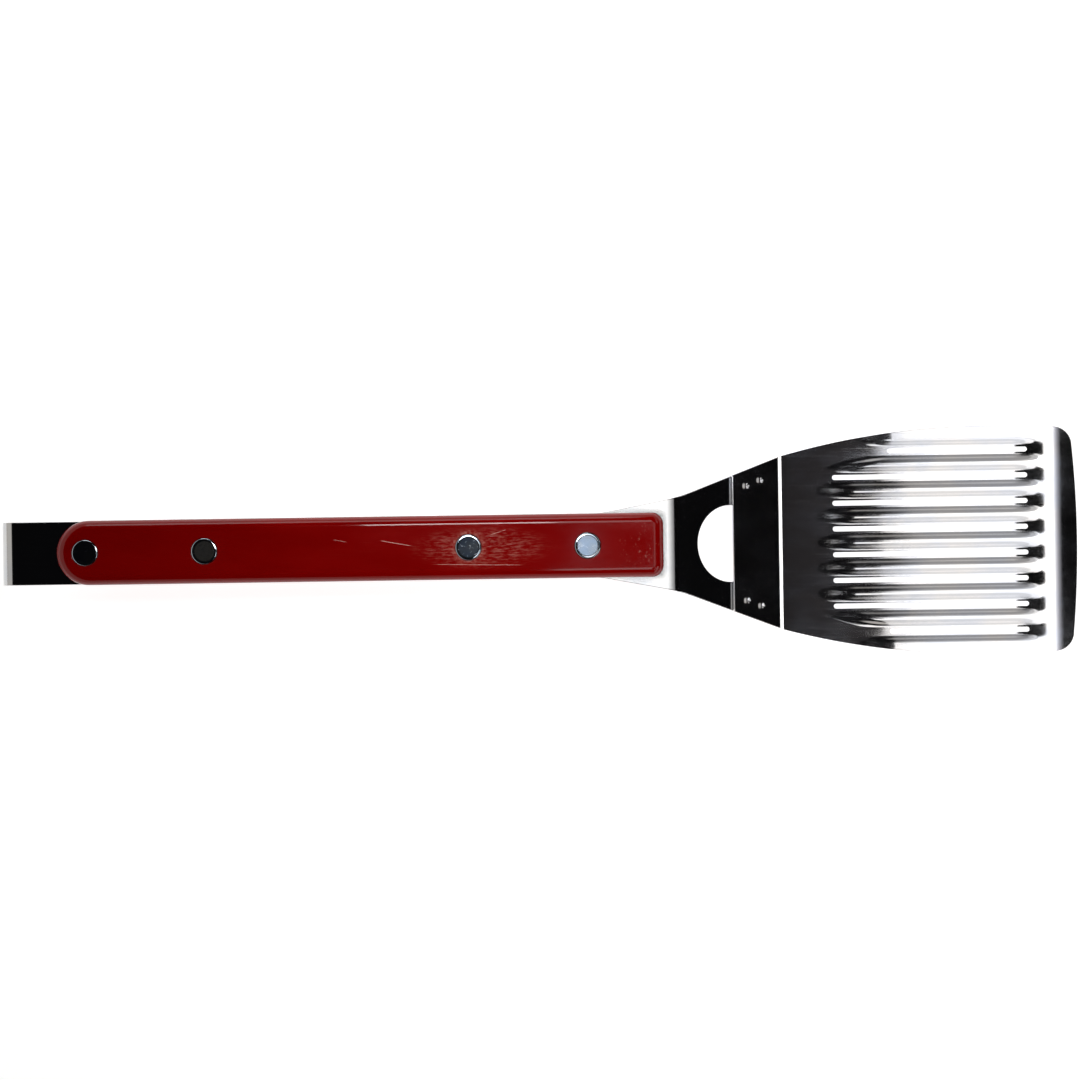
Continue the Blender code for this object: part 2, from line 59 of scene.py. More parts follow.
# ---------------------------------------------------------------- dimensions of the CAD model
FACE_GAP = 0.0003
RIVET_GAP = 0.0003
TONGUE_LENGTH = 0.0224
HANDLE_LENGTH = 0.2512
BEND_SETBACK = 0.0015
NECK_RUN = 0.0470
TANG_THICKNESS = 0.0020
TANG_WIDTH = 0.0262
HOOK_BEND_RADIUS = 0.0035
HOOK_TIP_ROUNDING = 0.0060
NECK_SLOPE = math.radians(31)
NECK_BEND_RADIUS = 0.0140
TANG_FLARE = 0.190
NECK_FLARE = 0.383
FLARE_LEAD = 0.0276
FLARE_EASING = 0.0060
NECK_HOLE_DIAMETER = 0.0315
NECK_HOLE_SETBACK = 0.0211
TANG_END_SETBACK = 0.0050
SHEET_THICKNESS = 0.0012
FLANGE_RUN = 0.0197
HEEL_BEND_RADIUS = 0.0055       # wider than the CAD's by what its facets leave out
BLADE_WIDTH = 0.0944
WIDEST_SETBACK = 0.0413
FRONT_NARROWING = 0.0008
FRONT_BOW = 0.0018
FRONT_CORNER_RADIUS = 0.0080
LIP_RUN = 0.0105
LIP_BEND_RUN = 0.0070
LIP_LIFT = 0.0001
SLOT_COUNT = 8
SLOT_SIDE_INSET = 0.00982
SLOT_WIDTH = 0.0020
SLOT_FRONT_SETBACK = 0.0203
SLOT_REAR_INSET = 0.0220
OUTER_SLOT_REAR_INSET = 0.0450
FLOOR_WIDTH = 0.0032
FLOOR_RISE = 0.0164
FLOOR_OVERLAP = 0.0070
RIB_HEIGHT = 0.0015
RIB_RISE = 0.0175
RIB_LEAD = 0.0075
OUTER_RIB_LEAD = 0.0155
HANDLE_WIDTH = 0.0268
SCALE_THICKNESS = 0.0070
SCALE_FRONT_CORNER_RADIUS = 0.0050
SCALE_EDGE_ROUNDING = 0.0040
REAR_RIVET_INSET = 0.0116
FRONT_RIVET_INSET = 0.0314
RIVET_PAIR_SPACING = 0.0494
RIVET_HEAD_RADIUS = 0.0054
RIVET_HEAD_THICKNESS = 0.0016
RIVET_TUBE_RADIUS = 0.0027
RIVET_PIN_RADIUS = 0.0014
RIVET_PIN_CLEARANCE = 0.0030
WELD_RADIUS = 0.00135
WELD_DIMPLE = 0.00025
WELD_ROWS = (0.0044, 0.0103)
WELD_EDGE_INSET = 0.0062

REAR_X = CAD_LOW.x
FRONT_X = CAD_HIGH.x
HANDLE_REAR_X = REAR_X + TONGUE_LENGTH
HANDLE_FRONT_X = HANDLE_REAR_X + HANDLE_LENGTH
NECK_BEND_X = HANDLE_FRONT_X + BEND_SETBACK
HEEL_X = NECK_BEND_X + NECK_RUN
FLANGE_REAR_X = HEEL_X - FLANGE_RUN
SLOT_PITCH = (BLADE_WIDTH - 2 * SLOT_SIDE_INSET) / (SLOT_COUNT - 1)
BLADE_Z = SHEET_THICKNESS / 2
STACK_OFFSET = SHEET_THICKNESS / 2 + FACE_GAP + TANG_THICKNESS / 2
NECK_RADIUS = NECK_BEND_RADIUS + TANG_THICKNESS / 2
NECK_CORNER_X = NECK_BEND_X + NECK_RADIUS * math.tan(NECK_SLOPE / 2)
TANG_Z = (BLADE_Z + (HEEL_X - NECK_CORNER_X) * math.tan(NECK_SLOPE)
          - STACK_OFFSET / math.cos(NECK_SLOPE))
HOOK_RADIUS = HOOK_BEND_RADIUS + TANG_THICKNESS / 2
SCALE_INNER_OFFSET = TANG_THICKNESS / 2 + FACE_GAP
SCALE_OUTER_OFFSET = SCALE_INNER_OFFSET + SCALE_THICKNESS
SLOT_CENTRES = SLOT_PITCH * (np.arange(SLOT_COUNT) - (SLOT_COUNT - 1) / 2)

# ---------------------------------------------------------------- rounding and spacing of the meshes
SHEET_EDGE = 0.00022
SLOT_EDGE = 0.00008
TANG_EDGE = 0.00035
SCALE_INNER_EDGE = 0.0004
POCKET_EDGE = 0.0002
BLADE_SPACING = 0.0011
TANG_SPACING = 0.0022
SCALE_SPACING = 0.0040
WELD_CLEARING = WELD_RADIUS * 1.9
WELD_DISC_RADIUS = WELD_RADIUS * 1.75


# ---------------------------------------------------------------- shape functions
def eased_ramp(distance, easing):
    eased = (distance + easing) ** 2 / (4 * easing)
    return np.where(distance <= -easing, 0.0, np.where(distance >= easing, distance, eased))


def smooth_step(value):
    value = np.clip(value, 0.0, 1.0)
    return value * value * (3 - 2 * value)


def arc(centre, radius, start, end, steps):
    angles = np.linspace(start, end, steps + 1)
    return np.column_stack([centre[0] + radius * np.cos(angles), centre[1] + radius * np.sin(angles)])


def tang_half_width(x):
    beside_scales = eased_ramp(x - (HANDLE_FRONT_X - FLARE_LEAD), FLARE_EASING)
    on_neck = eased_ramp(x - NECK_CORNER_X, FLARE_EASING)
    return TANG_WIDTH / 2 + TANG_FLARE * beside_scales + (NECK_FLARE - TANG_FLARE) * on_neck


def blade_half_width(x):
    x = np.asarray(x, dtype=float)
    widest = BLADE_WIDTH / 2
    widest_x = FRONT_X - WIDEST_SETBACK
    left = (widest_x - x) / (widest_x - HEEL_X)
    rear = widest - (widest - tang_half_width(HEEL_X)) * left ** 2
    front = widest - FRONT_NARROWING * ((x - widest_x) / WIDEST_SETBACK) ** 2
    return np.where(x <= HEEL_X, tang_half_width(x), np.where(x <= widest_x, rear, front))


def rivet_places():
    rear = HANDLE_REAR_X + REAR_RIVET_INSET
    front = HANDLE_FRONT_X - FRONT_RIVET_INSET
    return (rear, rear + RIVET_PAIR_SPACING, front - RIVET_PAIR_SPACING, front)


def weld_places():
    places = []
    for side in (1, -1):
        for inset in WELD_ROWS:
            x = FLANGE_REAR_X + inset
            places.append((x, side * (float(tang_half_width(x)) - WELD_EDGE_INSET)))
    return places


def rib_start(y):
    inner = HEEL_X + SLOT_REAR_INSET - RIB_LEAD
    outer = HEEL_X + OUTER_SLOT_REAR_INSET - OUTER_RIB_LEAD
    inner_side = SLOT_PITCH * (SLOT_COUNT / 2 - 1.5) + FLOOR_WIDTH / 2
    outer_side = SLOT_PITCH * (SLOT_COUNT / 2 - 0.5) - FLOOR_WIDTH / 2
    return inner + (outer - inner) * smooth_step((np.abs(y) - inner_side) / (outer_side - inner_side))


def rib_height(x, y):
    """How far the blade's sheet is pressed up at places in plan."""
    index = np.clip(np.floor(y / SLOT_PITCH + SLOT_COUNT / 2), 0, SLOT_COUNT - 1).astype(int)
    from_centre = np.abs(y - SLOT_CENTRES[index])
    floor_half = FLOOR_WIDTH / 2
    up_flank = np.clip((from_centre - floor_half) / (SLOT_PITCH / 2 - floor_half), 0.0, 1.0)
    on_floor = 0.5 * (1 + np.cos(np.pi * up_flank))
    rib_rise = smooth_step((x - rib_start(y)) / RIB_RISE)
    floor_rise = smooth_step((x - FRONT_X + SLOT_FRONT_SETBACK + FLOOR_OVERLAP) / FLOOR_RISE)
    return RIB_HEIGHT * rib_rise * (1 - on_floor * (1 - floor_rise))


def lip_drop(x):
    lip_start = FRONT_X - LIP_RUN
    edge_drop = float(eased_ramp(LIP_RUN - LIP_BEND_RUN / 2, LIP_BEND_RUN / 2))
    slope = (RIB_HEIGHT - LIP_LIFT) / edge_drop
    return slope * eased_ramp(x - lip_start - LIP_BEND_RUN / 2, LIP_BEND_RUN / 2)


def heel_rise(x):
    """The blade's middle surface behind the heel, above its flat."""
    bend_start = HEEL_X + HEEL_BEND_RADIUS * math.tan(NECK_SLOPE / 2)
    back = bend_start - x
    bend_run = HEEL_BEND_RADIUS * math.sin(NECK_SLOPE)
    in_bend = HEEL_BEND_RADIUS - np.sqrt(HEEL_BEND_RADIUS ** 2 - np.clip(back, 0, bend_run) ** 2)
    return in_bend + np.maximum(back - bend_run, 0) * math.tan(NECK_SLOPE)


def blade_height(x, y):
    return BLADE_Z + heel_rise(x) - lip_drop(x) + rib_height(x, y)


# ---------------------------------------------------------------- sheet meshes
def blade_surface(points):
    """Middle surface and its normals at plan positions."""
    x, y = points[:, 0], points[:, 1]
    step = 2e-6
    slope_x = (blade_height(x + step, y) - blade_height(x - step, y)) / (2 * step)
    slope_y = (blade_height(x, y + step) - blade_height(x, y - step)) / (2 * step)
    normals = np.column_stack([-slope_x, -slope_y, np.ones(len(x))])
    normals /= np.linalg.norm(normals, axis=1)[:, None]
    return np.column_stack([x, y, blade_height(x, y)]), normals


HOOK_LEG = TANG_Z - HOOK_RADIUS
HOOK_ARC = HOOK_RADIUS * math.pi / 2
LEVEL_REAR_X = REAR_X + TANG_THICKNESS / 2 + HOOK_RADIUS
LEVEL_END = HOOK_LEG + HOOK_ARC + NECK_BEND_X - LEVEL_REAR_X
NECK_START = LEVEL_END + NECK_RADIUS * NECK_SLOPE
NECK_START_X = NECK_BEND_X + NECK_RADIUS * math.sin(NECK_SLOPE)
TANG_END = NECK_START + (HEEL_X - TANG_END_SETBACK - NECK_START_X) / math.cos(NECK_SLOPE)


def tang_along(x):
    """Distance along the tang's middle line at a place on its level part or its neck."""
    if x <= NECK_BEND_X:
        return HOOK_LEG + HOOK_ARC + x - LEVEL_REAR_X
    return NECK_START + (x - NECK_START_X) / math.cos(NECK_SLOPE)


def tang_line(along):
    """(x, z, tilt) of the tang's middle line: the tilt turns the normal from -X (hook) to +X (neck)."""
    hook = np.clip((along - HOOK_LEG) / HOOK_ARC, 0, 1) * math.pi / 2
    neck = np.clip((along - LEVEL_END) / NECK_RADIUS, 0, NECK_SLOPE)
    leg = np.minimum(along, HOOK_LEG)
    level = np.clip(along - HOOK_LEG - HOOK_ARC, 0, NECK_BEND_X - LEVEL_REAR_X)
    past = np.maximum(along - NECK_START, 0)
    x = (LEVEL_REAR_X - HOOK_RADIUS * np.cos(hook) + level + NECK_RADIUS * np.sin(neck)
         + past * math.cos(NECK_SLOPE))
    z = (leg + HOOK_RADIUS * np.sin(hook) - NECK_RADIUS * (1 - np.cos(neck))
         - past * math.sin(NECK_SLOPE))
    return x, z, hook - math.pi / 2 + neck


def tang_surface(points):
    x, z, tilt = tang_line(points[:, 0])
    normals = np.column_stack([np.sin(tilt), np.zeros(len(x)), np.cos(tilt)])
    return np.column_stack([x, points[:, 1], z]), normals


def flat_surface(height):
    def surface(points):
        count = len(points)
        places = np.column_stack([points, np.full(count, height)])
        return places, np.tile([0.0, 0.0, 1.0], (count, 1))
    return surface


def resample(points, spacing):
    """A closed loop with extra points on edges longer than the spacing."""
    out = []
    for start, end in zip(points, np.roll(points, -1, axis=0)):
        parts = max(1, math.ceil(np.linalg.norm(end - start) / spacing - 1e-6))
        out += [start + (end - start) * part / parts for part in range(parts)]
    return np.array(out)


def drop_doubles(points, limit=1e-5):
    gaps = np.linalg.norm(points - np.roll(points, 1, axis=0), axis=1)
    return points[gaps > limit]


def outward(points):
    """Unit normals of a loop, pointing out of the material: the material lies to its left."""
    along = np.roll(points, -1, axis=0) - points
    along /= np.linalg.norm(along, axis=1)[:, None]
    edge = np.column_stack([along[:, 1], -along[:, 0]])
    both = edge + np.roll(edge, 1, axis=0)
    return both / np.maximum((both * np.roll(edge, 1, axis=0)).sum(axis=1), 0.5)[:, None]


def inside(points, loop):
    """Even-odd test of many points against one loop."""
    x, y = points[:, 0][:, None], points[:, 1][:, None]
    x0, y0 = loop[:, 0][None], loop[:, 1][None]
    x1, y1 = np.roll(loop[:, 0], -1)[None], np.roll(loop[:, 1], -1)[None]
    crosses = (y0 > y) != (y1 > y)
    with np.errstate(divide="ignore", invalid="ignore"):
        at = x0 + (y - y0) * (x1 - x0) / (y1 - y0)
    return (crosses & (x < at)).sum(axis=1) % 2 == 1


def far_from(points, loop, limit):
    """True where a point is at least the limit away from every edge of the loop."""
    start = loop[None]
    run = (np.roll(loop, -1, axis=0) - loop)[None]
    rel = points[:, None] - start
    t = np.clip((rel * run).sum(axis=2) / np.maximum((run ** 2).sum(axis=2), 1e-18), 0, 1)
    gap = ((rel - t[..., None] * run) ** 2).sum(axis=2).min(axis=1)
    return gap > limit ** 2


def in_blocks(test, points, *args):
    parts = [test(block, *args) for block in np.array_split(points, max(1, len(points) // 1500))]
    return np.concatenate(parts)


def fill(loops, lattice, clearance):
    """Triangles between an outer loop and its holes, through the lattice points that fit."""
    keep = in_blocks(inside, lattice, loops[0]) & in_blocks(far_from, lattice, loops[0], clearance)
    for hole in loops[1:]:
        low, high = hole.min(axis=0) - clearance, hole.max(axis=0) + clearance
        near = keep & ((lattice > low) & (lattice < high)).all(axis=1)
        ids = np.flatnonzero(near)
        if len(ids):
            good = ~in_blocks(inside, lattice[ids], hole)
            good &= in_blocks(far_from, lattice[ids], hole, clearance)
            keep[ids] = good
    points = np.vstack(list(loops) + [lattice[keep]])
    edges, start = [], 0
    for loop in loops:
        count = len(loop)
        edges += [(start + i, start + (i + 1) % count) for i in range(count)]
        start += count
    scale = 1000.0
    found = delaunay_2d_cdt([Vector(p * scale) for p in points], edges, [], 0, 1e-6, True)
    verts, _, faces, origins = found[:4]
    source = np.array([ids[0] if ids else -1 for ids in origins])
    faces = np.array(faces)
    middles = np.array([(v.x, v.y) for v in verts])[faces].mean(axis=1) / scale
    keep_face = in_blocks(inside, middles, loops[0])
    for hole in loops[1:]:
        low, high = hole.min(axis=0), hole.max(axis=0)
        ids = np.flatnonzero(keep_face & ((middles > low) & (middles < high)).all(axis=1))
        if len(ids):
            keep_face[ids] = ~in_blocks(inside, middles[ids], hole)
    faces = source[faces[keep_face]]
    if (faces < 0).any():
        raise ValueError("the fill made points of its own")
    return points, faces


def rounded_edge(top, bottom, radius_top, radius_bottom, steps=3):
    """(inset, height, normal's turn) down an edge that is rounded at both faces."""
    turns = np.linspace(0, math.pi / 2, steps + 1)
    upper = [(radius_top * (1 - math.sin(a)), top - radius_top * (1 - math.cos(a)), a) for a in turns]
    lower = [(radius_bottom * (1 - math.sin(a)), bottom + radius_bottom * (1 - math.cos(a)),
              math.pi - a) for a in turns[::-1]]
    return upper + lower


def sheet_object(name, surface, edges, lattice, clearance, dents=()):
    """A closed sheet with rounded edges. Each edge is (loop, profile): the material lies left of it."""
    verts, normals, faces = [], [], []
    total = 0
    tops, bottoms = [], []
    for loop, profile in edges:
        out2 = outward(loop)
        count = len(loop)
        for inset, height, turn in profile:
            plan = loop - out2 * inset
            place, normal = surface(plan)
            ahead = surface(plan + out2 * 1e-6)[0] - place
            ahead /= np.linalg.norm(ahead, axis=1)[:, None]
            verts.append(place + normal * height)
            normals.append(normal * math.cos(turn) + ahead * math.sin(turn))
        rings = len(profile)
        ids = np.arange(count)
        after = (ids + 1) % count
        for ring in range(rings - 1):
            a, b = total + ring * count, total + (ring + 1) * count
            faces.append(np.column_stack([a + ids, b + ids, b + after, a + after]))
        tops.append((loop - out2 * profile[0][0], total, profile[0][1]))
        bottoms.append((loop - out2 * profile[-1][0], total + (rings - 1) * count, profile[-1][1]))
        total += rings * count
    for group, flip in ((tops, False), (bottoms, True)):
        points, triangles = fill([plan for plan, _, _ in group], lattice, clearance)
        border = np.concatenate([np.arange(first, first + len(plan)) for plan, first, _ in group])
        inner = points[len(border):]
        place, normal = surface(inner)
        height = group[0][2]
        verts.append(place + normal * height)
        normals.append(-normal if flip else normal)
        lookup = np.concatenate([border, np.arange(total, total + len(inner))])
        total += len(inner)
        triangles = lookup[triangles]
        faces.append(triangles[:, ::-1] if flip else triangles)
    verts, normals = np.vstack(verts), np.vstack(normals)
    for dent in dents:
        dent(verts, normals)
    mesh = bpy.data.meshes.new(name)
    mesh.from_pydata(verts.tolist(), [], [f.tolist() for block in faces for f in block])
    mesh.validate()
    mesh.shade_smooth()
    mesh.normals_split_custom_set_from_vertices(normals.tolist())
    return add_object(name, mesh)


def add_object(name, mesh):
    obj = bpy.data.objects.new(name, mesh)
    bpy.context.scene.collection.objects.link(obj)
    return obj


def circle(x, y, radius, sides):
    """Clockwise, so that the material around a hole lies to its left."""
    return arc((x, y), radius, 0, -2 * math.pi, sides)[:-1]


def disc_points(x, y, radius, rings, sides):
    points = [(x, y)]
    for ring in range(1, rings + 1):
        points += arc((x, y), radius * ring / rings, 0, 2 * math.pi, sides)[:-1].tolist()
    return points


def grid_points(xs, ys):
    across, up = np.meshgrid(xs, ys, indexing="ij")
    return np.column_stack([across.ravel(), up.ravel()])


def with_discs(points, places, rings, sides):
    """The points with a fine disc of points in place of those around each weld."""
    keep = np.ones(len(points), dtype=bool)
    for x, y in places:
        keep &= np.hypot(points[:, 0] - x, points[:, 1] - y) > WELD_CLEARING
    discs = [disc_points(x, y, WELD_DISC_RADIUS, rings, sides) for x, y in places]
    return np.vstack([points[keep], *discs])


def neck_axis(x, y):
    """The weld's axis: a point on the neck's middle surface and the neck's normal."""
    point = Vector((x, y, TANG_Z - (x - NECK_CORNER_X) * math.tan(NECK_SLOPE)))
    return point, Vector((math.sin(NECK_SLOPE), 0, math.cos(NECK_SLOPE)))


def weld_dent(x, y, face_side):
    """Presses an electrode's dimple into the flange's top (side 1) or the neck's underside (-1)."""
    axis_point, axis = (np.array(part) for part in neck_axis(x, y))
    reach, bowl_radius = WELD_RADIUS * 1.6, WELD_RADIUS * 1.25
    ring_radius, ring_width = WELD_RADIUS * 1.3, WELD_RADIUS * 0.16
    ring_height = WELD_DIMPLE * 0.12

    def dent(verts, normals):
        rel = verts - axis_point
        up = rel @ axis
        across = rel - up[:, None] * axis
        far = np.linalg.norm(across, axis=1)
        facing = (normals @ axis) * face_side > 0.7
        near = facing & (far < reach) & (np.abs(up) < 0.01)
        share = np.minimum(far[near] / bowl_radius, 1)
        from_ring = far[near] - ring_radius
        ring = np.exp(-(from_ring / ring_width) ** 2)
        depth = WELD_DIMPLE * 0.5 * (1 + np.cos(np.pi * share)) - ring_height * ring
        bowl_slope = -0.5 * np.pi * np.sin(np.pi * share) / bowl_radius
        ring_slope = ring * -2 * from_ring / ring_width ** 2
        slope = WELD_DIMPLE * bowl_slope - ring_height * ring_slope
        out = across[near] / np.maximum(far[near], 1e-9)[:, None]
        verts[near] -= face_side * axis * depth[:, None]
        tilted = face_side * axis + out * slope[:, None]
        normals[near] = tilted / np.linalg.norm(tilted, axis=1)[:, None]
    return dent


def slot_loop(centre, rear, front):
    half = SLOT_WIDTH / 2
    loop = np.vstack([
        arc((rear + half, centre), half, -math.pi / 2, -3 * math.pi / 2, 10),
        arc((front - half, centre), half, math.pi / 2, -math.pi / 2, 10)])
    return resample(drop_doubles(loop), BLADE_SPACING)


def blade_loop():
    corner = FRONT_CORNER_RADIUS
    corner_x = FRONT_X - FRONT_BOW - corner
    corner_y = float(blade_half_width(corner_x)) - corner
    xs = np.concatenate([np.linspace(FLANGE_REAR_X, HEEL_X, 20)[:-1],
                         np.linspace(HEEL_X, corner_x, 110)])
    side = np.column_stack([xs, blade_half_width(xs)])
    ys = np.linspace(corner_y, 0, 50)[1:]
    front = np.column_stack([FRONT_X - FRONT_BOW * (ys / corner_y) ** 2, ys])
    upper = np.vstack([side, arc((corner_x, corner_y), corner, math.pi / 2, 0, 14)[1:], front])
    lower = upper[::-1][1:] * (1, -1)
    loop = np.vstack([upper, lower])[::-1]
    return drop_doubles(resample(loop, BLADE_SPACING))


def make_blade():
    slots = []
    for index, centre in enumerate(SLOT_CENTRES):
        outer = index in (0, SLOT_COUNT - 1)
        rear = HEEL_X + (OUTER_SLOT_REAR_INSET if outer else SLOT_REAR_INSET)
        slots.append(slot_loop(centre, rear, FRONT_X - SLOT_FRONT_SETBACK))
    floor_half = FLOOR_WIDTH / 2
    flank = SLOT_PITCH / 2 - floor_half
    offsets = np.concatenate([[0.0005], floor_half + flank * np.linspace(0, 1, 9)])
    ys = np.unique(np.round(np.concatenate([c + s * offsets for c in SLOT_CENTRES for s in (1, -1)]), 7))
    edge = SLOT_COUNT * SLOT_PITCH / 2
    margin = np.arange(edge + BLADE_SPACING, BLADE_WIDTH / 2, BLADE_SPACING)
    ys = np.concatenate([-margin, ys, margin])
    bend = HEEL_BEND_RADIUS * math.tan(NECK_SLOPE / 2)
    lip = FRONT_X - LIP_RUN
    flange_step, flat_step = 0.0012, 0.0009
    flange_inset, lip_gap = 0.0008, 0.0004
    xs = np.concatenate([
        np.arange(FLANGE_REAR_X + flange_inset, HEEL_X - bend, flange_step),
        np.linspace(HEEL_X - bend, HEEL_X + bend, 15),
        np.arange(HEEL_X + bend + flat_step, lip - lip_gap, flat_step),
        np.linspace(lip, FRONT_X, 20)])
    lattice = with_discs(grid_points(xs, ys), weld_places(), 9, 26)
    half = SHEET_THICKNESS / 2
    edges = [(blade_loop(), rounded_edge(half, -half, SHEET_EDGE, SHEET_EDGE))]
    edges += [(loop, rounded_edge(half, -half, SLOT_EDGE, SLOT_EDGE)) for loop in slots]
    dents = [weld_dent(x, y, 1) for x, y in weld_places()]
    return sheet_object("blade_sheet", blade_surface, edges, lattice, clearance=0.0003,
                        dents=dents)


def tang_loop():
    rise = HOOK_TIP_ROUNDING * (1 - np.cos(np.linspace(0, math.pi / 2, 11)))
    tip_half = TANG_WIDTH / 2 - HOOK_TIP_ROUNDING + np.sqrt(
        HOOK_TIP_ROUNDING ** 2 - (HOOK_TIP_ROUNDING - rise) ** 2)
    alongs = np.concatenate([
        np.linspace(HOOK_TIP_ROUNDING, HOOK_LEG, 14)[1:-1],
        np.linspace(HOOK_LEG, HOOK_LEG + HOOK_ARC, 15)[:-1],
        np.linspace(HOOK_LEG + HOOK_ARC, LEVEL_END, 130)[:-1],
        np.linspace(LEVEL_END, NECK_START, 15)[:-1],
        np.linspace(NECK_START, TANG_END, 40)])
    side = np.column_stack([alongs, tang_half_width(tang_line(alongs)[0])])
    upper = np.vstack([np.column_stack([rise, tip_half]), side])
    loop = np.vstack([upper, upper[::-1] * (1, -1)])[::-1]
    return drop_doubles(resample(loop, TANG_SPACING))


def make_tang():
    leg_step, level_step, neck_step, row_step = 0.0018, 0.0022, 0.0014, 0.0018
    bend_gap, outermost_row = 0.001, 0.036
    xs = np.concatenate([
        np.arange(leg_step, HOOK_LEG - bend_gap, leg_step),
        np.linspace(HOOK_LEG, HOOK_LEG + HOOK_ARC, 15),
        np.arange(HOOK_LEG + HOOK_ARC + level_step, LEVEL_END - bend_gap, level_step),
        np.linspace(LEVEL_END, NECK_START, 15),
        np.arange(NECK_START + neck_step, TANG_END, neck_step)])
    ys = np.arange(-outermost_row, outermost_row + 0.0001, row_step)
    places = [(tang_along(x), y) for x, y in weld_places()]
    lattice = with_discs(grid_points(xs, ys), places, 7, 22)
    half = TANG_THICKNESS / 2
    profile = rounded_edge(half, -half, TANG_EDGE, TANG_EDGE)
    hole = circle(tang_along(HEEL_X - NECK_HOLE_SETBACK), 0, NECK_HOLE_DIAMETER / 2, 120)
    edges = [(tang_loop(), profile), (hole, profile)]
    edges += [(circle(tang_along(x), 0, RIVET_TUBE_RADIUS + RIVET_GAP, 40), profile)
              for x in rivet_places()]
    dents = [weld_dent(x, y, -1) for x, y in weld_places()]
    return sheet_object("tang_strip", tang_surface, edges, lattice, clearance=0.0007, dents=dents)


def scale_loop():
    half = HANDLE_WIDTH / 2
    corner = SCALE_FRONT_CORNER_RADIUS
    loop = np.vstack([
        arc((HANDLE_REAR_X + half, 0), half, math.pi / 2, 3 * math.pi / 2, 56),
        arc((HANDLE_FRONT_X - corner, corner - half), corner, -math.pi / 2, 0, 18),
        arc((HANDLE_FRONT_X - corner, half - corner), corner, 0, math.pi / 2, 18)])
    return resample(drop_doubles(loop), SCALE_SPACING)


def make_scale(name, side):
    """A scale whose outer face is rounded into its sides. It is turned over for side -1."""
    inner, outer = SCALE_INNER_OFFSET, SCALE_OUTER_OFFSET
    edge = rounded_edge(outer, inner, SCALE_EDGE_ROUNDING, SCALE_INNER_EDGE, steps=10)
    pocket = outer - RIVET_HEAD_THICKNESS - RIVET_GAP
    ledge = RIVET_HEAD_RADIUS - RIVET_TUBE_RADIUS
    down, crease, bevel = math.pi / 2, 0.0001, 0.0002
    counterbore = rounded_edge(outer, pocket, POCKET_EDGE, POCKET_EDGE)[:4]
    counterbore += [(0.0, pocket + crease, down), (0.0, pocket, down), (-crease, pocket, 0.0),
                    (crease - ledge, pocket, 0.0), (-ledge, pocket, down), (-ledge, pocket - crease, down),
                    (-ledge, inner + SCALE_INNER_EDGE, down), (bevel - ledge, inner, math.pi)]
    edges = [(scale_loop(), edge)]
    edges += [(circle(x, 0, RIVET_HEAD_RADIUS + RIVET_GAP * 0.6, 72), counterbore)
              for x in rivet_places()]
    step = 0.005
    lattice = grid_points(np.arange(HANDLE_REAR_X, HANDLE_FRONT_X, step), step * np.arange(-2, 3))
    obj = sheet_object(name, flat_surface(0.0), edges, lattice, clearance=0.0016)
    turn = Matrix.Identity(4) if side > 0 else Matrix.Rotation(math.pi, 4, "X")
    obj.data.transform(Matrix.Translation((0, 0, TANG_Z)) @ turn)
    return obj


def turned(name, profile, sides=96):
    """A profile of (radius, height), turned about Z. The first and last points are on the axis."""
    angles = np.linspace(0, 2 * math.pi, sides + 1)[:-1]
    verts = [(0, 0, profile[0][1])]
    for radius, height in profile[1:-1]:
        verts += [(radius * math.cos(a), radius * math.sin(a), height) for a in angles]
    verts.append((0, 0, profile[-1][1]))
    faces = []
    rings = len(profile) - 2
    for i in range(sides):
        j = (i + 1) % sides
        faces.append((0, 1 + i, 1 + j))
        for ring in range(rings - 1):
            a, b = 1 + ring * sides, 1 + (ring + 1) * sides
            faces.append((a + i, b + i, b + j, a + j))
        last = 1 + (rings - 1) * sides
        faces.append((last + i, len(verts) - 1, last + j))
    mesh = bpy.data.meshes.new(name)
    mesh.from_pydata(verts, [], faces)
    mesh.shade_smooth()
    mesh.set_sharp_from_angle(angle=math.radians(40))
    return add_object(name, mesh)


def head_points():
    """A rivet head from the middle of its slightly dished face to the back of its rim."""
    face, radius = SCALE_OUTER_OFFSET, RIVET_HEAD_RADIUS
    dish, rim, drop = 0.000023, 0.0009, 0.0004
    flat = radius - rim
    points = [(flat * share, face - dish * (1 - share ** 2)) for share in np.linspace(0, 1, 8)]
    points += [(flat + rim * math.sin(a), face - drop * (1 - math.cos(a)))
               for a in np.linspace(0, math.pi / 2, 9)[1:]]
    return points + [(radius, face - RIVET_HEAD_THICKNESS)]


def make_rivet(number, x):
    back = SCALE_OUTER_OFFSET - RIVET_HEAD_THICKNESS
    end = RIVET_PIN_CLEARANCE - back
    tip = 0.0003
    pin = turned(f"rivet_{number}_upper", head_points() + [
        (RIVET_PIN_RADIUS, back), (RIVET_PIN_RADIUS, end + tip), (RIVET_PIN_RADIUS - tip, end), (0, end)])
    bore = RIVET_PIN_RADIUS + RIVET_GAP
    bore_end = back - RIVET_PIN_CLEARANCE / 2
    top = back - RIVET_GAP
    tube = turned(f"rivet_{number}_lower", head_points() + [
        (RIVET_TUBE_RADIUS, back), (RIVET_TUBE_RADIUS, -top), (bore, -top), (bore, bore_end), (0, bore_end)])
    pin.data.transform(Matrix.Translation((x, 0, TANG_Z)))
    tube.data.transform(Matrix.Translation((x, 0, TANG_Z)) @ Matrix.Rotation(math.pi, 4, "X"))
    return pin, tube


# ---------------------------------------------------------------- materials
SCRATCH_ROUGHNESS = 0.05


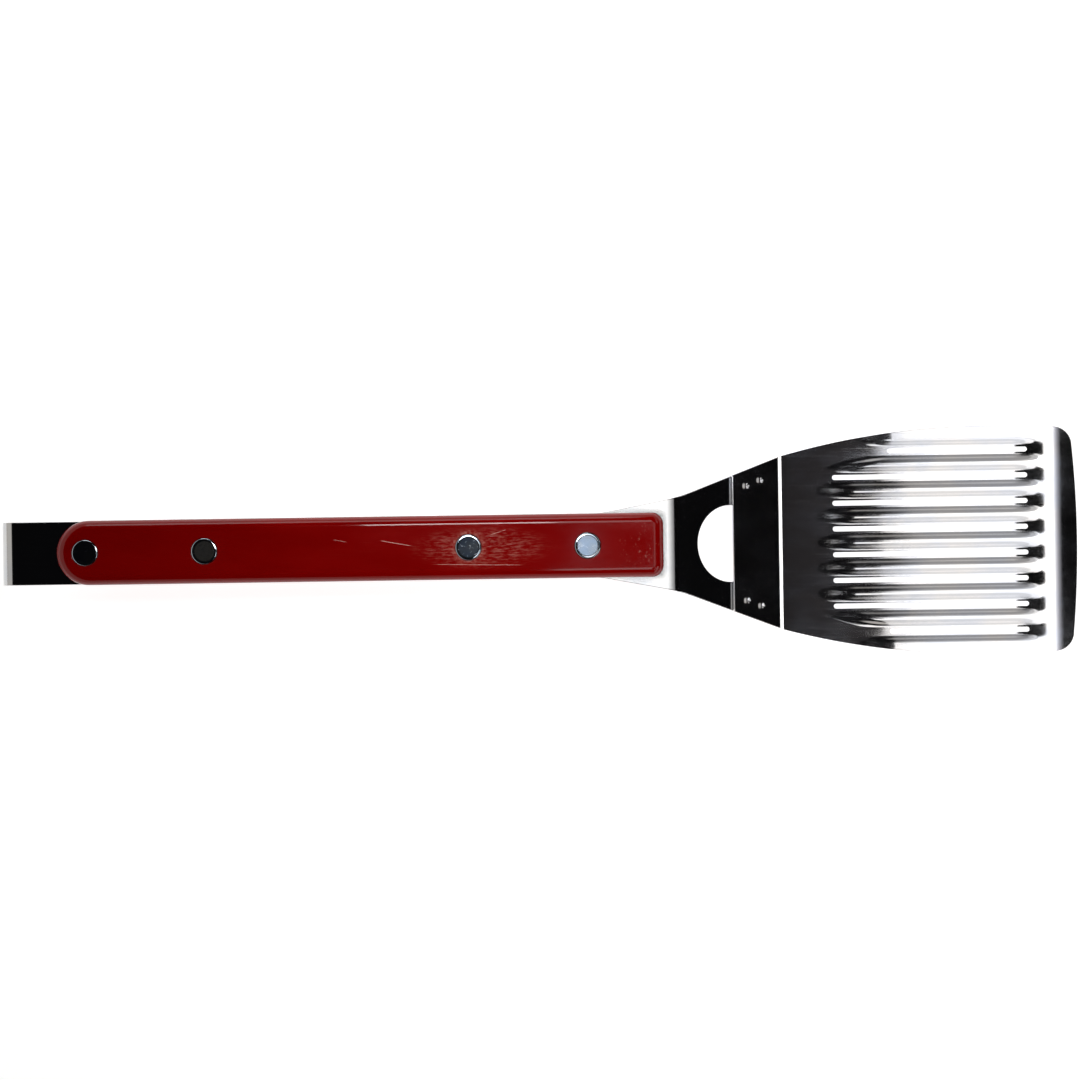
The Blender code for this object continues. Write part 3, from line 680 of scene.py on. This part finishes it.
class Tree:
    """A short way to write a shader's nodes."""

    def __init__(self, tree):
        self.tree = tree
        tree.nodes.clear()

    def node(self, kind, inputs=None, **settings):
        node = self.tree.nodes.new(kind)
        for key, value in settings.items():
            setattr(node, key, value)
        for key, value in (inputs or {}).items():
            if isinstance(value, bpy.types.NodeSocket):
                self.tree.links.new(value, node.inputs[key])
            else:
                node.inputs[key].default_value = value
        return node

    def math(self, operation, a, b=0.0):
        return self.node("ShaderNodeMath", {0: a, 1: b}, operation=operation).outputs[0]

    def times(self, a, b):
        return self.math("MULTIPLY", a, b)

    def total(self, *values):
        out = values[0]
        for value in values[1:]:
            out = self.math("ADD", out, value)
        return out

    def mapped(self, vector, scale, turn=0.0, shift=(0, 0, 0)):
        node = self.node("ShaderNodeMapping", {"Vector": vector, "Scale": scale, "Location": shift,
                                               "Rotation": (0, 0, turn)})
        return node.outputs[0]

    def noise(self, vector, scale, detail=2.0, roughness=0.5, turn=0.0):
        """Noise with a scale for each axis."""
        stretched = self.mapped(vector, scale, turn)
        node = self.node("ShaderNodeTexNoise", {"Vector": stretched, "Scale": 1.0, "Detail": detail,
                                                "Roughness": roughness})
        return node.outputs["Fac"]

    def moved(self, vector, centre):
        return self.node("ShaderNodeVectorMath", {0: vector, 1: centre}, operation="SUBTRACT").outputs[0]

    def distance(self, vector, centre, size=(1, 1)):
        """How far the vector is from a centre in plan, as a share of the size along X and Y."""
        shaped = self.mapped(self.moved(vector, (*centre, 0)), (1 / size[0], 1 / size[1], 0))
        return self.node("ShaderNodeVectorMath", {0: shaped}, operation="LENGTH").outputs["Value"]

    def span(self, value, low, high, to_low=0.0, to_high=1.0):
        """Eases from one value to another while the input goes from low to high."""
        node = self.node("ShaderNodeMapRange", {"Value": value, "From Min": low, "From Max": high,
                                                "To Min": to_low, "To Max": to_high},
                         interpolation_type="SMOOTHSTEP")
        return node.outputs[0]

    def mix(self, share, a, b):
        node = self.node("ShaderNodeMix", data_type="RGBA")
        for socket, value in ((node.inputs[0], share), (node.inputs[6], a), (node.inputs[7], b)):
            if isinstance(value, bpy.types.NodeSocket):
                self.tree.links.new(value, socket)
            else:
                socket.default_value = value
        return node.outputs[2]

    def scratches(self, vector, turn, length, width, share, shift):
        """Thin streaks of about that length and width, at that turn. A larger share makes more of them."""
        turned_place = self.mapped(vector, (1, 1, 1), turn, shift)
        streak = self.noise(turned_place, (1 / length, 1 / width, 1 / width), 0.0)
        return self.span(streak, 0.78 - share, 0.82 - share)

    def bump(self, height, strength, distance, normal=None):
        inputs = {"Height": height, "Strength": strength, "Distance": distance}
        if normal is not None:
            inputs["Normal"] = normal
        return self.node("ShaderNodeBump", inputs).outputs[0]


def new_material(name):
    material = bpy.data.materials.new(name)
    material.use_nodes = True
    tree = Tree(material.node_tree)
    out = tree.node("ShaderNodeOutputMaterial")
    shader = tree.node("ShaderNodeBsdfPrincipled")
    material.node_tree.links.new(shader.outputs[0], out.inputs[0])
    place = tree.node("ShaderNodeTexCoord").outputs["Object"]
    return material, tree, shader, place


def link(tree, source, shader, name):
    tree.tree.links.new(source, shader.inputs[name])


def steel(name, tint_a, tint_b, rough_low, rough_high, brushing, waviness):
    """Polished stainless steel, brushed along X, with smudges, fine scratches and a slight waviness."""
    material, tree, shader, place = new_material(name)
    clouds = tree.noise(place, (45, 70, 70), 3.0, 0.6)
    streaks = tree.noise(place, (70, 2600, 2600), 3.0, 0.6)
    fine = tree.noise(place, (260, 5200, 5200), 2.0, 0.6, 0.03)
    lines = tree.total(
        tree.scratches(place, 0.04, 0.020, 0.00016, 0.06, (0.3, 0.1, 0)),
        tree.scratches(place, 0.72, 0.016, 0.00013, 0.01, (1.7, 2.1, 0)),
        tree.scratches(place, -0.85, 0.014, 0.00013, 0.00, (3.1, 0.7, 0)))
    lines = tree.math("MINIMUM", lines, 1.0)
    colour = tree.mix(tree.span(clouds, 0.35, 0.65), (*tint_a, 1), (*tint_b, 1))
    rough = tree.total(tree.span(clouds, 0.3, 0.7, rough_low, rough_high),
                       tree.span(streaks, 0.3, 0.7, 0, rough_high * 0.35),
                       tree.times(lines, SCRATCH_ROUGHNESS))
    height = tree.total(tree.times(streaks, brushing),
                        tree.times(fine, brushing * 0.6),
                        tree.times(lines, -brushing * 0.8))
    wavy = tree.noise(place, (35, 60, 60), 1.0, 0.4)
    soft = tree.bump(wavy, 1.0, waviness)
    link(tree, colour, shader, "Base Color")
    link(tree, rough, shader, "Roughness")
    link(tree, tree.bump(height, 1.0, 1.0, soft), shader, "Normal")
    shader.inputs["Metallic"].default_value = 1.0
    return material


def rivet_steel():
    """Satin rivet heads with a fine speckle and faint scratches."""
    material, tree, shader, place = new_material("satin_rivet_steel")
    speckle = tree.noise(place, (1500, 1500, 1500), 3.0, 0.7)
    clouds = tree.noise(place, (240, 240, 240), 2.0, 0.5)
    lines = tree.total(tree.scratches(place, 0.4, 0.004, 0.00015, 0.03, (0.4, 0.9, 0)),
                       tree.scratches(place, -0.7, 0.003, 0.00015, 0.03, (2.4, 1.9, 0)))
    colour = tree.mix(tree.span(clouds, 0.35, 0.65), (0.50, 0.56, 0.66, 1), (0.58, 0.61, 0.66, 1))
    rough = tree.total(tree.span(clouds, 0.3, 0.7, 0.06, 0.09), tree.times(lines, 0.12))
    height = tree.total(speckle, tree.times(lines, -0.6))
    link(tree, colour, shader, "Base Color")
    link(tree, rough, shader, "Roughness")
    link(tree, tree.bump(height, 0.35, 0.000012), shader, "Normal")
    shader.inputs["Metallic"].default_value = 1.0
    return material


def segment_mask(tree, place, start, end, width):
    """1 on one straight scratch in plan, 0 away from it."""
    run = Vector(end) - Vector(start)
    angle = math.atan2(run.y, run.x)
    from_start = tree.moved(place, (*start, 0))
    turned_place = tree.node("ShaderNodeVectorRotate", {"Vector": from_start, "Angle": -angle},
                             rotation_type="Z_AXIS").outputs[0]
    parts = tree.node("ShaderNodeSeparateXYZ", {0: turned_place})
    wobble = tree.noise(place, (700, 700, 700))
    across = tree.math("ADD", tree.math("ABSOLUTE", parts.outputs[1]),
                       tree.times(wobble, width * 1.2))
    line = tree.span(across, width * 0.6, width * 1.5, 1.0, 0.0)
    begin = tree.span(parts.outputs[0], 0, run.length * 0.15)
    stop = tree.span(parts.outputs[0], run.length * 0.85, run.length, 1.0, 0.0)
    return tree.times(line, tree.times(begin, stop))


def red_plastic():
    """Glossy deep red, with chalky scuffs round the third rivet and a few single scratches."""
    material, tree, shader, place = new_material("glossy_red_plastic")
    third, fourth = rivet_places()[2:]
    from_scuff = tree.distance(place, (third + 0.005, 0), (0.034, 0.0105))
    rub = tree.noise(place, (260, 1300, 1300), 4.0, 0.65, 0.06)
    scuff = tree.times(tree.span(from_scuff, 0.35, 1.0, 1.0, 0.0), tree.span(rub, 0.42, 0.72))
    from_marks = tree.distance(place, (fourth + 0.022, 0.001), (0.011, 0.011))
    spots = tree.noise(place, (700, 420, 420), 3.0, 0.7)
    marks = tree.times(tree.span(from_marks, 0.5, 1.0, 1.0, 0.0), tree.span(spots, 0.60, 0.70))
    from_rivet = tree.distance(place, (third, 0))
    dust = tree.noise(place, (900, 900, 900), 3.0, 0.6)
    halo = tree.times(tree.span(from_rivet, 0.0056, 0.0088, 1.0, 0.0), tree.span(dust, 0.35, 0.65))
    lines = tree.total(
        segment_mask(tree, place, (third - 0.037, 0.0035), (third - 0.0225, 0.0008), 0.00022),
        segment_mask(tree, place, (third - 0.056, 0.0040), (third - 0.050, 0.0030), 0.00016),
        segment_mask(tree, place, (third + 0.009, 0.0050), (third + 0.016, 0.0072), 0.00016),
        segment_mask(tree, place, (third - 0.016, -0.0068), (third + 0.024, -0.0076), 0.00020),
        tree.times(tree.scratches(place, 0.04, 0.012, 0.00022, 0.00, (1.3, 0.4, 0)), 0.05),
        tree.times(tree.scratches(place, -0.5, 0.006, 0.00020, -0.02, (4.3, 2.4, 0)), 0.04))
    worn = tree.total(tree.times(scuff, 0.55), tree.times(halo, 0.40), tree.times(marks, 0.45), lines)
    height_above = tree.node("ShaderNodeSeparateXYZ", {0: place}).outputs[2]
    on_upper_scale = tree.span(height_above, TANG_Z - 0.001, TANG_Z + 0.001)
    chalk = tree.times(tree.math("MINIMUM", worn, 1.0), on_upper_scale)
    clouds = tree.noise(place, (22, 60, 60), 3.0, 0.55)
    deep = tree.mix(tree.span(clouds, 0.3, 0.7), (0.215, 0.0003, 0.0003, 1), (0.250, 0.0005, 0.0004, 1))
    colour = tree.mix(tree.times(chalk, 0.55), deep, (0.70, 0.22, 0.15, 1))
    rough = tree.total(tree.span(clouds, 0.3, 0.7, 0.07, 0.11), tree.times(chalk, 0.22))
    grain = tree.noise(place, (420, 900, 900), 3.0, 0.6)
    height = tree.total(grain, tree.times(chalk, -1.5))
    link(tree, colour, shader, "Base Color")
    link(tree, rough, shader, "Roughness")
    link(tree, tree.bump(height, 0.35, 0.00003), shader, "Normal")
    shader.inputs["Specular IOR Level"].default_value = 0.42
    return material


# ---------------------------------------------------------------- light, floor and camera
CAMERA_LENS = 800.0
SENSOR_WIDTH = 36.0
FRAME_MARGIN = 1.00652          # the picture's width over the object's length
CAMERA_DISTANCE = (FRONT_X - REAR_X) * FRAME_MARGIN * CAMERA_LENS / SENSOR_WIDTH
CAMERA_X, CAMERA_Y = -0.0002, 0.0026
CAMERA_ROLL = math.radians(-0.85)

FLOOR_Z = -0.0002
FLOOR_HALF_SIDE = 8.0

PANEL_HEIGHT = 0.25
HIGH_PANEL_HEIGHT = 0.50
HIGH_PANEL_HALF_WIDTH = 0.150
BRIGHT_START_X = 0.143          # where the level blade turns from mirroring dark to mirroring bright
FADE_START_X = 0.262            # from here to the front, the high panels get darker in steps
FADE_STEP = 0.015
FLARE_PANEL_REAR_X = 0.006
FLARE_PANEL_INNER_Y = 0.0138    # just outside the scales, so that they don't mirror it
FLARE_PANEL_OUTER_Y = 0.10
PANEL_OVERLAP = 0.0008
RIVET_PANEL_HALF_SIDE = 0.005
SIDE_PANEL_NEAR_Y = 0.062
SIDE_PANEL_FAR_Y = 0.60
SIDE_PANEL_FRONT_X = 0.400
FLAG_BOTTOM_Z = 0.17
FLAG_HALF_WIDTH = 0.5
BRIGHT = 2.2                    # radiance that polished steel turns into near white
RIVET_TONES = ((0.035, (1.0, 0.85, 0.65)), (0.060, (0.62, 0.80, 1.0)), (1.0, (0.74, 0.87, 1.0)))


def above(x, height=PANEL_HEIGHT):
    """The place that the camera sees mirrored in level steel at x."""
    return x * (1 + height / CAMERA_DISTANCE)


def softbox(name, x_range, y_range, radiance, colour=(1, 1, 1), height=PANEL_HEIGHT, spread=90, aim=None):
    """A panel that shines down, or at a place (x, z). The camera doesn't see it, the steel does.

    Its radiance is the one straight ahead, and falls to nothing at the spread (degrees off its axis).
    """
    size = (x_range[1] - x_range[0], y_range[1] - y_range[0])
    light = bpy.data.lights.new(name, "AREA")
    light.shape = "RECTANGLE"
    light.size, light.size_y = size
    light.energy = radiance * math.pi * size[0] * size[1]
    if spread < 90:
        half = math.radians(spread)
        light.spread = 2 * half
        light.energy *= (math.tan(half) - half) / math.tan(half)
    light.color = colour
    obj = bpy.data.objects.new(name, light)
    middle = sum(x_range) / 2
    obj.location = (middle, sum(y_range) / 2, height)
    if aim:
        obj.rotation_euler = (0, math.atan2(middle - aim[0], height - aim[1]), 0)
    obj.visible_camera = False
    bpy.context.scene.collection.objects.link(obj)


def louvres(name, x_range, half_width, radiances, aim, spread):
    """Narrow panels side by side that only their target sees: the level steel below them stays dark."""
    width = (x_range[1] - x_range[0]) / len(radiances)
    for index, radiance in enumerate(radiances):
        start = x_range[0] + width * index
        softbox(f"{name}_{index + 1}", (start, start + width), (-half_width, half_width), radiance,
                spread=spread, aim=aim)


def black_flag():
    """A black card, edge-on to the camera, that keeps the bright panels out of the neck's reflections."""
    low_x = above(BRIGHT_START_X, FLAG_BOTTOM_Z)
    high_x = above(BRIGHT_START_X, HIGH_PANEL_HEIGHT)
    side = FLAG_HALF_WIDTH
    mesh = bpy.data.meshes.new("black_flag")
    mesh.from_pydata([(low_x, -side, FLAG_BOTTOM_Z), (low_x, side, FLAG_BOTTOM_Z),
                      (high_x, side, HIGH_PANEL_HEIGHT), (high_x, -side, HIGH_PANEL_HEIGHT)],
                     [], [(0, 1, 2, 3)])
    flag = add_object("black_flag", mesh)
    material, _, shader, _ = new_material("black_card")
    shader.inputs["Base Color"].default_value = (0.002, 0.002, 0.002, 1)
    shader.inputs["Specular IOR Level"].default_value = 0.0
    mesh.materials.append(material)
    flag.visible_camera = False


def light_handle():
    """Panels for the bare steel beside and in front of the scales, and for three of the rivets."""
    flare = (FLARE_PANEL_REAR_X, above(NECK_BEND_X) + PANEL_OVERLAP)
    inner, outer = FLARE_PANEL_INNER_Y, FLARE_PANEL_OUTER_Y
    softbox("over_right_flare", flare, (-outer, -inner), BRIGHT)
    softbox("over_left_flare", flare, (inner, outer), BRIGHT)
    softbox("over_neck_start", (above(HANDLE_FRONT_X) + 0.0002, flare[1]), (-inner, inner), BRIGHT)
    half = RIVET_PANEL_HALF_SIDE
    for name, x, (radiance, colour) in zip(("second", "third", "fourth"), rivet_places()[1:], RIVET_TONES):
        softbox(f"over_{name}_rivet", (x - half, x + half), (-half, half), radiance, colour)


def light_blade():
    """High panels over the blade's front, and panels on both sides for the flanks of its ribs."""
    bright, high_bright = above(BRIGHT_START_X), above(BRIGHT_START_X, HIGH_PANEL_HEIGHT)
    high_y = (-HIGH_PANEL_HALF_WIDTH, HIGH_PANEL_HALF_WIDTH)
    softbox("over_blade_front", (high_bright, FADE_START_X), high_y, 1.9, height=HIGH_PANEL_HEIGHT)
    for index, radiance in enumerate((1.15, 0.80, 0.52, 0.32, 0.16)):
        start = FADE_START_X + FADE_STEP * index
        softbox(f"over_front_lip_{index + 1}", (start, start + FADE_STEP), high_y, radiance,
                (0.90, 0.91, 1.0), height=HIGH_PANEL_HEIGHT)
    near, far, front = SIDE_PANEL_NEAR_Y, SIDE_PANEL_FAR_Y, SIDE_PANEL_FRONT_X
    softbox("over_heel", (above(HEEL_X), bright), (-near, near), 0.022, (1.0, 0.93, 1.0))
    softbox("right_of_blade_near", (0.121, front), (-0.20, -near), 1.6)
    softbox("right_of_blade_far", (bright, front), (-far, -0.20), 1.15)
    softbox("left_of_blade_near", (bright + 0.004, front), (near, 0.10), 1.2)
    softbox("left_of_blade_middle", (bright + 0.006, front), (0.10, 0.18), 0.75)
    softbox("left_of_blade_far", (bright + 0.010, front), (0.18, far), 0.44)


def light_scales():
    """A small bright panel that the upper scale mirrors along its left edge, and a wide fill."""
    softbox("key_left_of_grip", (-0.075, 0.020), (0.028, 0.080), 13.0)
    softbox("fill_left_of_grip", (-0.24, 0.04), (0.30, 0.60), BRIGHT)


def light_bends():
    """Fading light for the neck's bend, even light for the heel's, and black on the neck between them."""
    neck_fade = (2.0, 1.7, 1.4, 1.1, 0.8, 0.56, 0.37, 0.22, 0.12, 0.05)
    louvres("neck_bend", (above(NECK_BEND_X) + PANEL_OVERLAP, 0.184), 0.06, neck_fade, (0.056, TANG_Z), 9)
    louvres("heel_bend", (0.160, 0.346), 0.08, (2.8,) * 6, (HEEL_X, 0), 5)
    black_flag()


def make_floor():
    side, height = FLOOR_HALF_SIDE, FLOOR_Z
    mesh = bpy.data.meshes.new("floor")
    mesh.from_pydata([(-side, -side, height), (side, -side, height), (side, side, height),
                      (-side, side, height)], [], [(0, 1, 2, 3)])
    floor = add_object("floor", mesh)
    material, tree, shader, place = new_material("pale_floor")
    cloud = tree.noise(place, (6, 6, 6))
    tone = tree.mix(cloud, (0.80, 0.80, 0.80, 1), (0.82, 0.82, 0.815, 1))
    link(tree, tone, shader, "Base Color")
    shader.inputs["Roughness"].default_value = 0.9
    shader.inputs["Specular IOR Level"].default_value = 0.0
    shader.inputs["Emission Color"].default_value = (1.0, 1.0, 1.0, 1)
    shader.inputs["Emission Strength"].default_value = 0.80
    mesh.materials.append(material)


def make_world():
    """A pale wall all round, low in front of the blade and higher behind the hook, under a dark ceiling."""
    world = bpy.data.worlds.new("studio")
    bpy.context.scene.world = world
    world.use_nodes = True
    tree = Tree(world.node_tree)
    direction = tree.node("ShaderNodeTexCoord").outputs["Generated"]
    parts = tree.node("ShaderNodeSeparateXYZ", {0: direction})
    lean = tree.math("MINIMUM", tree.times(parts.outputs[0], 0.55),
                     tree.times(parts.outputs[0], 0.20))
    level = tree.math("ADD", parts.outputs[2], lean)
    share = tree.span(level, 0.38, 0.50)
    colour = tree.mix(share, (0.62, 0.60, 0.57, 1), (0.003, 0.003, 0.0035, 1))
    background = tree.node("ShaderNodeBackground", {"Color": colour, "Strength": 1.0})
    out = tree.node("ShaderNodeOutputWorld")
    tree.tree.links.new(background.outputs[0], out.inputs[0])


def make_camera():
    data = bpy.data.cameras.new("camera")
    data.lens, data.sensor_width = CAMERA_LENS, SENSOR_WIDTH
    data.clip_start, data.clip_end = 0.1, 50.0
    camera = bpy.data.objects.new("camera", data)
    camera.location = (CAMERA_X, CAMERA_Y, BLADE_Z + CAMERA_DISTANCE)
    camera.rotation_euler = (0, 0, CAMERA_ROLL)
    bpy.context.scene.collection.objects.link(camera)
    bpy.context.scene.camera = camera


def dress(obj, material, slot, *nodes):
    obj.data.materials.clear()
    obj.data.materials.append(material)
    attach(obj, "root")
    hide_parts(*nodes)


def main():
    scene = bpy.context.scene
    scene.view_settings.view_transform = "Standard"
    scene.view_settings.look = "None"
    tang_steel = steel("mirror_tang_steel", (0.60, 0.595, 0.59), (0.56, 0.57, 0.59),
                       rough_low=0.05, rough_high=0.08, brushing=0.0000006, waviness=0.00003)
    blade_steel = steel("brushed_blade_steel", (0.66, 0.64, 0.63), (0.60, 0.61, 0.65),
                        rough_low=0.06, rough_high=0.11, brushing=0.0000009, waviness=0.00008)
    rivets = rivet_steel()
    red = red_plastic()
    dress(make_tang(), tang_steel, "tang_steel", "tang")
    nuggets = [f"weld_nugget_{number}" for number in range(1, len(weld_places()) + 1)]
    dress(make_blade(), blade_steel, "blade_steel", "blade", *nuggets)
    dress(make_scale("scale_upper", 1), red, "red_plastic", "upper_scale")
    dress(make_scale("scale_lower", -1), red, "red_plastic", "lower_scale")
    for number, x in enumerate(rivet_places(), start=1):
        pin, tube = make_rivet(number, x)
        dress(pin, rivets, "rivet_steel", f"rivet_{number}_pin")
        dress(tube, rivets, "rivet_steel", f"rivet_{number}_tube")
    make_floor()
    make_world()
    light_handle()
    light_blade()
    light_scales()
    light_bends()
    make_camera()


main()
